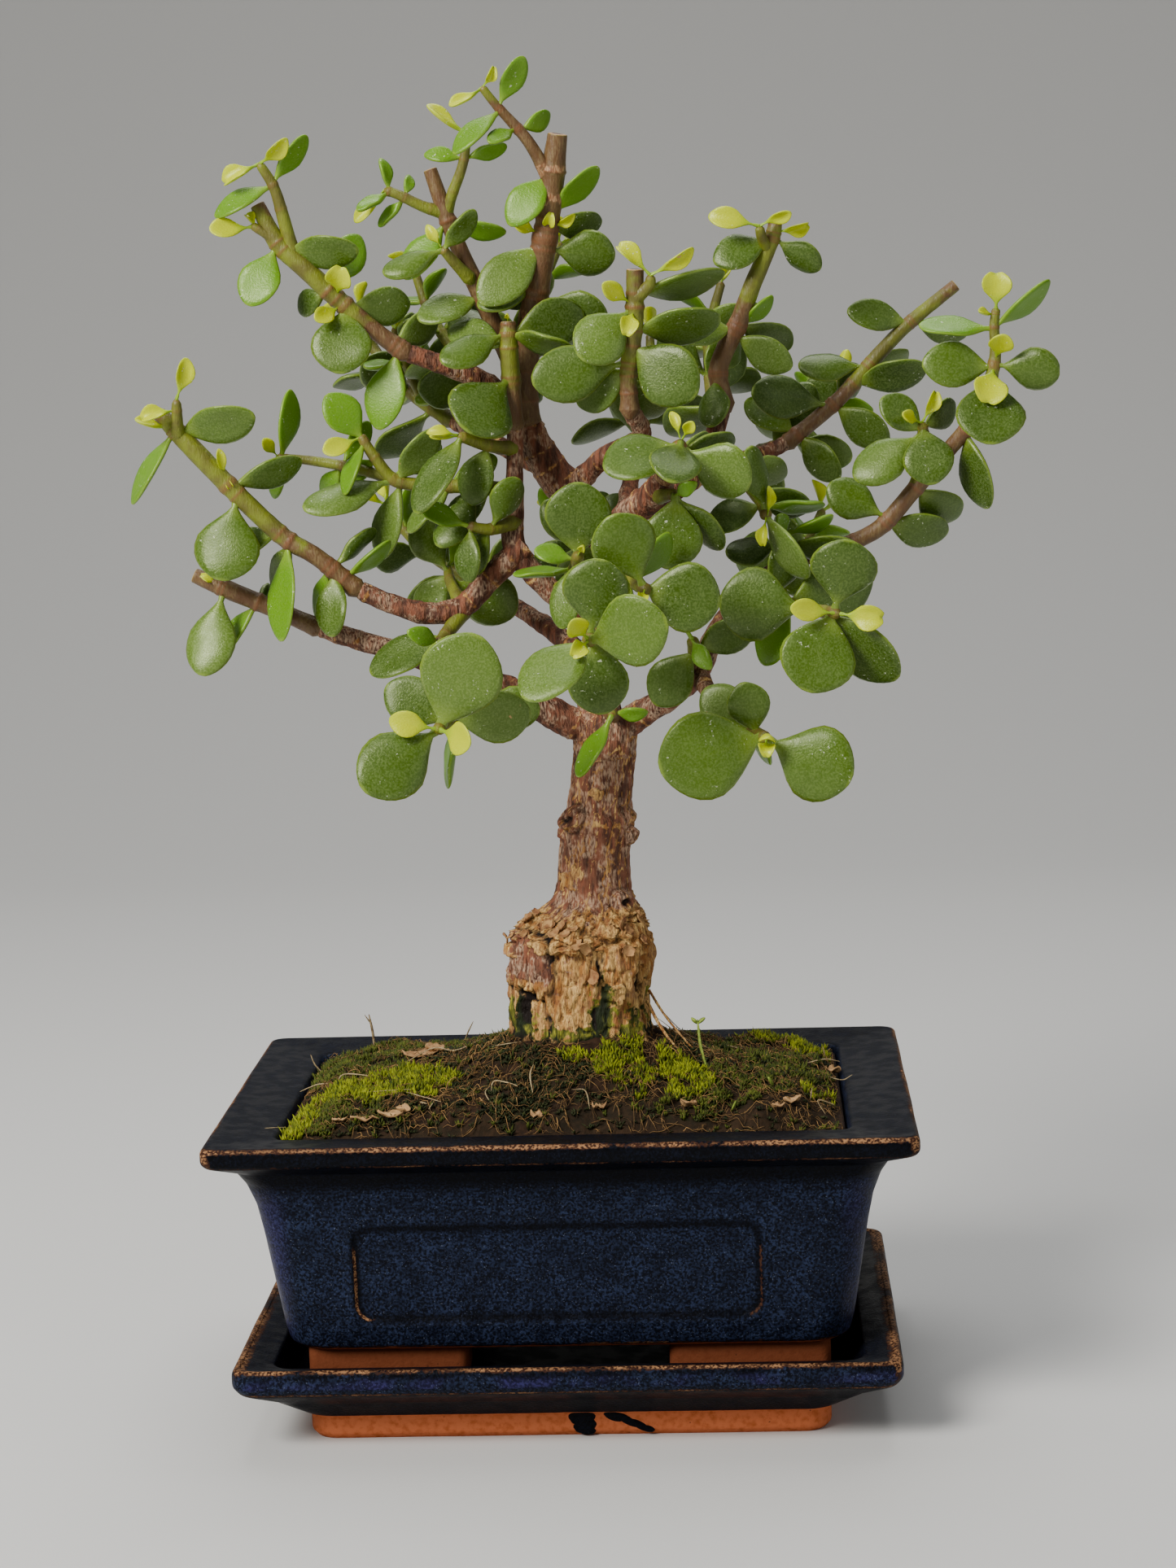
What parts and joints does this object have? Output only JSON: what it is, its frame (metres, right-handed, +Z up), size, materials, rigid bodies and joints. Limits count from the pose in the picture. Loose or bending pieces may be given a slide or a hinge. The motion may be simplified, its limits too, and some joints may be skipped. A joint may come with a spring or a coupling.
{
  "type": "dwarf jade bonsai",
  "caption": "Dwarf jade bonsai with a thick ringed trunk, woody boughs and leafy shoots, in a glazed rectangular pot that stands on its saucer.",
  "frame": {"origin": "middle of the saucer's foot, on the surface it stands on", "axes": "+Z up along the plant, +X along the pot's long side to the viewer's right, -Y towards the viewer"},
  "size_m": [0.2004, 0.123, 0.292],
  "materials": {
    "glaze": "glossy mottled dark blue glaze, brown where thin",
    "moss_and_soil": "rough damp soil with moss",
    "bark": "flaking reddish brown bark",
    "leaf": "waxy green succulent leaf"
  },
  "bodies": {
    "root": {"saucer": "glaze", "pot": "glaze", "soil": "moss_and_soil", "trunk_and_boughs": "bark", "spray_front_left": "leaf", "spray_front_centre": "leaf", "spray_low_right": "leaf", "spray_right_round": "leaf", "spray_front_upper": "leaf", "spray_front_inner": "leaf", "spray_low_centre_right": "leaf", "spray_fork": "leaf", "spray_knuckle": "leaf", "spray_knuckle_hanging": "leaf", "spray_right_inner": "leaf", "spray_right_lower_inner": "leaf", "spray_upper_centre": "leaf", "spray_top": "leaf", "spray_cut_stub": "leaf", "spray_centre_stub": "leaf", "spray_upper_left": "leaf", "spray_left": "leaf", "spray_low_left": "leaf", "spray_inner_low_left": "leaf", "spray_inner_left": "leaf", "spray_inner_node": "leaf", "spray_inner_hanging": "leaf", "spray_left_bough": "leaf", "spray_right": "leaf", "spray_upper_right": "leaf", "spray_right_cut": "leaf", "spray_rear_left": "leaf", "spray_rear": "leaf", "spray_rear_right": "leaf", "spray_low_rear_left": "leaf", "spray_low_rear_right": "leaf", "spray_low_rear": "leaf", "spray_top_rear": "leaf", "spray_top_rear_left": "leaf", "spray_top_rear_right": "leaf"}
  },
  "joints": []
}
